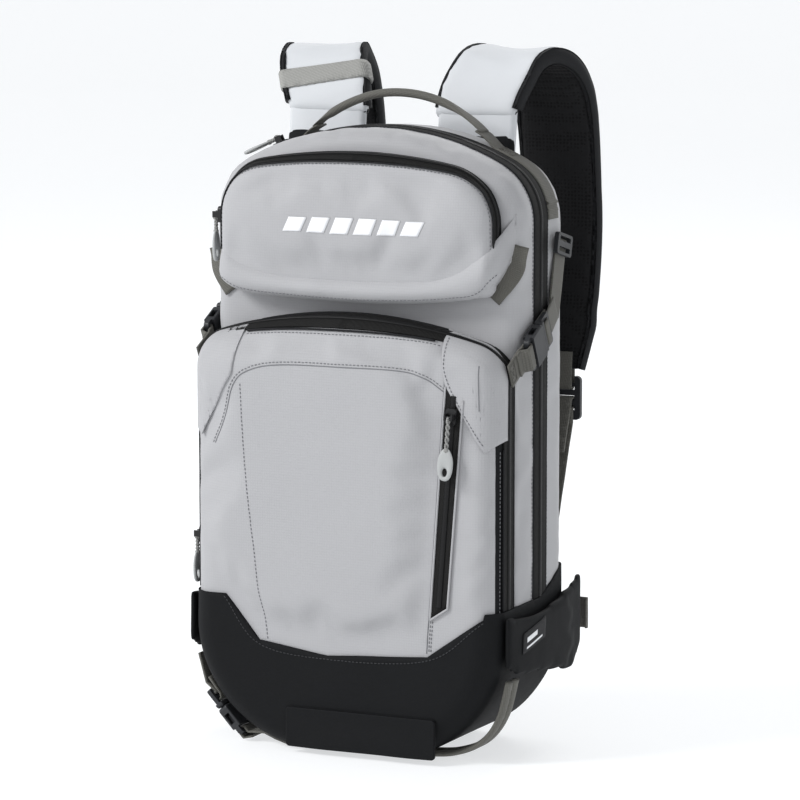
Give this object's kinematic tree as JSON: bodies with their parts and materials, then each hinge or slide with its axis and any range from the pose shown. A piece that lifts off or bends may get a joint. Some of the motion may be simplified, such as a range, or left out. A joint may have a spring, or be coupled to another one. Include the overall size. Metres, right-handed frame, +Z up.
{
  "type": "ski backpack",
  "caption": "Arch-topped ski backpack with zipped compartments, a goggle pocket, side-release compression straps, padded shoulder straps, ski loop and grab handle",
  "frame": {"origin": "middle of the flat bottom of the base boot", "axes": "+Z up along the pack's height, +Y towards the wearer's back, -Y is the front face, +X to the right seen from the front"},
  "size_m": [0.289, 0.2642, 0.555],
  "materials": {
    "shell_grey": "light cool grey ripstop polyester with a fine grid",
    "base_black": "black coated packcloth",
    "mesh_black": "black air mesh over moulded foam",
    "label_cloth": "small woven tab with a plain light bar",
    "zip_black": "black zip tape with a nylon coil",
    "webbing_tan": "warm grey ribbed nylon webbing",
    "plastic_black": "dark grey acetal, fine texture",
    "slider_dark": "black enamelled zinc",
    "pull_grey": "light grey moulded pull tabs on cord"
  },
  "bodies": {
    "pack": {"back_panel": "mesh_black", "base_boot": "base_black", "base_flap": "base_black", "bottom_buckle_female": "plastic_black", "bottom_webbing_front": "webbing_tan", "bottom_webbing_rear": "webbing_tan", "compression_buckle_female_left": "plastic_black", "compression_buckle_female_right": "plastic_black", "compression_webbing_front_left": "webbing_tan", "compression_webbing_front_right": "webbing_tan", "compression_webbing_rear_left": "webbing_tan", "compression_webbing_rear_right": "webbing_tan", "front_pocket": "shell_grey", "front_zip_tape": "zip_black", "goggle_band": "shell_grey", "goggle_pocket": "shell_grey", "goggle_zip_tape": "zip_black", "handle_tabs": "webbing_tan", "hip_wing_left": "base_black", "hip_wing_right": "base_black", "main_compartment": "shell_grey", "main_zip_tape": "zip_black", "rear_compartment": "shell_grey", "side_entry_tape": "zip_black", "side_label": "label_cloth", "ski_loop": "webbing_tan", "strap_webbing_left": "webbing_tan", "strap_webbing_right": "webbing_tan", "strap_yoke": "base_black", "triglide_left": "plastic_black", "triglide_right": "plastic_black", "waist_buckle_female": "plastic_black", "waist_webbing_left": "webbing_tan", "waist_webbing_right": "webbing_tan", "wing_flap_left": "shell_grey", "wing_flap_right": "shell_grey"},
    "harness": {"shoulder_strap_left": "shell_grey", "shoulder_strap_right": "shell_grey", "hose_keeper": "webbing_tan", "sternum_webbing_left": "webbing_tan", "sternum_webbing_right": "webbing_tan", "sternum_buckle_female": "plastic_black"},
    "sternum_plug": {"sternum_buckle_male": "plastic_black"},
    "waist_plug": {"waist_buckle_male": "plastic_black"},
    "lock_left": {"ladder_lock_left": "plastic_black"},
    "lock_right": {"ladder_lock_right": "plastic_black"},
    "compression_plug_left": {"compression_buckle_male_left": "plastic_black"},
    "compression_plug_right": {"compression_buckle_male_right": "plastic_black"},
    "bottom_plug": {"bottom_buckle_male": "plastic_black"},
    "handle": {"grab_handle": "webbing_tan"},
    "slider_main_top": {"slider_main_top": "slider_dark"},
    "pull_main_top": {"pull_main_top": "pull_grey"},
    "slider_main_low": {"slider_main_low": "slider_dark"},
    "pull_main_low": {"pull_main_low": "pull_grey"},
    "slider_front": {"slider_front": "slider_dark"},
    "pull_front": {"pull_front": "pull_grey"},
    "slider_goggle": {"slider_goggle": "slider_dark"},
    "pull_goggle": {"pull_goggle": "pull_grey"},
    "slider_side_entry": {"slider_side_entry": "slider_dark"},
    "pull_side_entry": {"pull_side_entry": "pull_grey"}
  },
  "joints": [
    {"name": "harness_swing", "type": "hinge", "parent": "pack", "child": "harness", "pos_m": [0, 0.074, 0.492], "axis": [1, 0, 0], "range_deg": [0, 50], "deforming": ["strap_webbing_left", "strap_webbing_right"]},
    {"name": "lock_tilt_left", "type": "hinge", "parent": "harness", "child": "lock_left", "pos_m": [-0.1, 0.1305, 0.277], "axis": [1, 0, 0], "range_deg": [-20, 35]},
    {"name": "lock_tilt_right", "type": "hinge", "parent": "harness", "child": "lock_right", "pos_m": [0.1, 0.1305, 0.277], "axis": [1, 0, 0], "range_deg": [-20, 35]},
    {"name": "sternum_release", "type": "slide", "parent": "harness", "child": "sternum_plug", "axis": [1, 0, 0], "range_m": [0, 0.028], "deforming": ["sternum_webbing_right"]},
    {"name": "waist_release", "type": "slide", "parent": "pack", "child": "waist_plug", "axis": [1, 0, 0], "range_m": [0, 0.03], "deforming": ["waist_webbing_right"]},
    {"name": "compression_release_left", "type": "slide", "parent": "pack", "child": "compression_plug_left", "axis": [0, 0.891, 0.454], "range_m": [0, 0.027], "deforming": ["compression_webbing_rear_left"]},
    {"name": "compression_release_right", "type": "slide", "parent": "pack", "child": "compression_plug_right", "axis": [0, 0.891, 0.454], "range_m": [0, 0.027], "deforming": ["compression_webbing_rear_right"]},
    {"name": "bottom_release", "type": "slide", "parent": "pack", "child": "bottom_plug", "axis": [-0.682, 0, 0.7314], "range_m": [0, 0.027], "deforming": ["bottom_webbing_rear"]},
    {"name": "handle_lean", "type": "hinge", "parent": "pack", "child": "handle", "pos_m": [0, 0.028, 0.49], "axis": [1, 0, 0], "range_deg": [-50, 45]},
    {"name": "zip_main_top", "type": "hinge", "parent": "pack", "child": "slider_main_top", "pos_m": [0, 0.005, 0.264], "axis": [0, 1, 0], "range_deg": [0, 44]},
    {"name": "zip_main_low", "type": "slide", "parent": "pack", "child": "slider_main_low", "axis": [0, 0, 1], "range_m": [0, 0.145]},
    {"name": "zip_front", "type": "slide", "parent": "pack", "child": "slider_front", "axis": [0, 0, 1], "range_m": [0, 0.07]},
    {"name": "zip_goggle", "type": "hinge", "parent": "pack", "child": "slider_goggle", "pos_m": [-0.072, -0.0486, 0.423], "axis": [0, 1, 0], "range_deg": [0, 60]},
    {"name": "zip_side_entry", "type": "slide", "parent": "pack", "child": "slider_side_entry", "axis": [-0.0745, 0, -0.9972], "range_m": [0, 0.105]},
    {"name": "pull_lift_main_top", "type": "hinge", "parent": "slider_main_top", "child": "pull_main_top", "pos_m": [-0.09668, 0.005, 0.48115], "axis": [0, 1, 0], "range_deg": [0, 110]},
    {"name": "pull_lift_main_low", "type": "hinge", "parent": "slider_main_low", "child": "pull_main_low", "pos_m": [-0.1406, 0.005, 0.163], "axis": [0, 1, 0], "range_deg": [0, 110]},
    {"name": "pull_lift_front", "type": "hinge", "parent": "slider_front", "child": "pull_front", "pos_m": [-0.1406, -0.057, 0.165], "axis": [0, 1, 0], "range_deg": [0, 110]},
    {"name": "pull_lift_goggle", "type": "hinge", "parent": "slider_goggle", "child": "pull_goggle", "pos_m": [-0.1264, -0.0486, 0.423], "axis": [0, 1, 0], "range_deg": [0, 110]},
    {"name": "pull_lift_side_entry", "type": "hinge", "parent": "slider_side_entry", "child": "pull_side_entry", "pos_m": [0.0974, -0.0926, 0.278], "axis": [-0.9972, 0, 0.0745], "range_deg": [0, 110]}
  ]
}
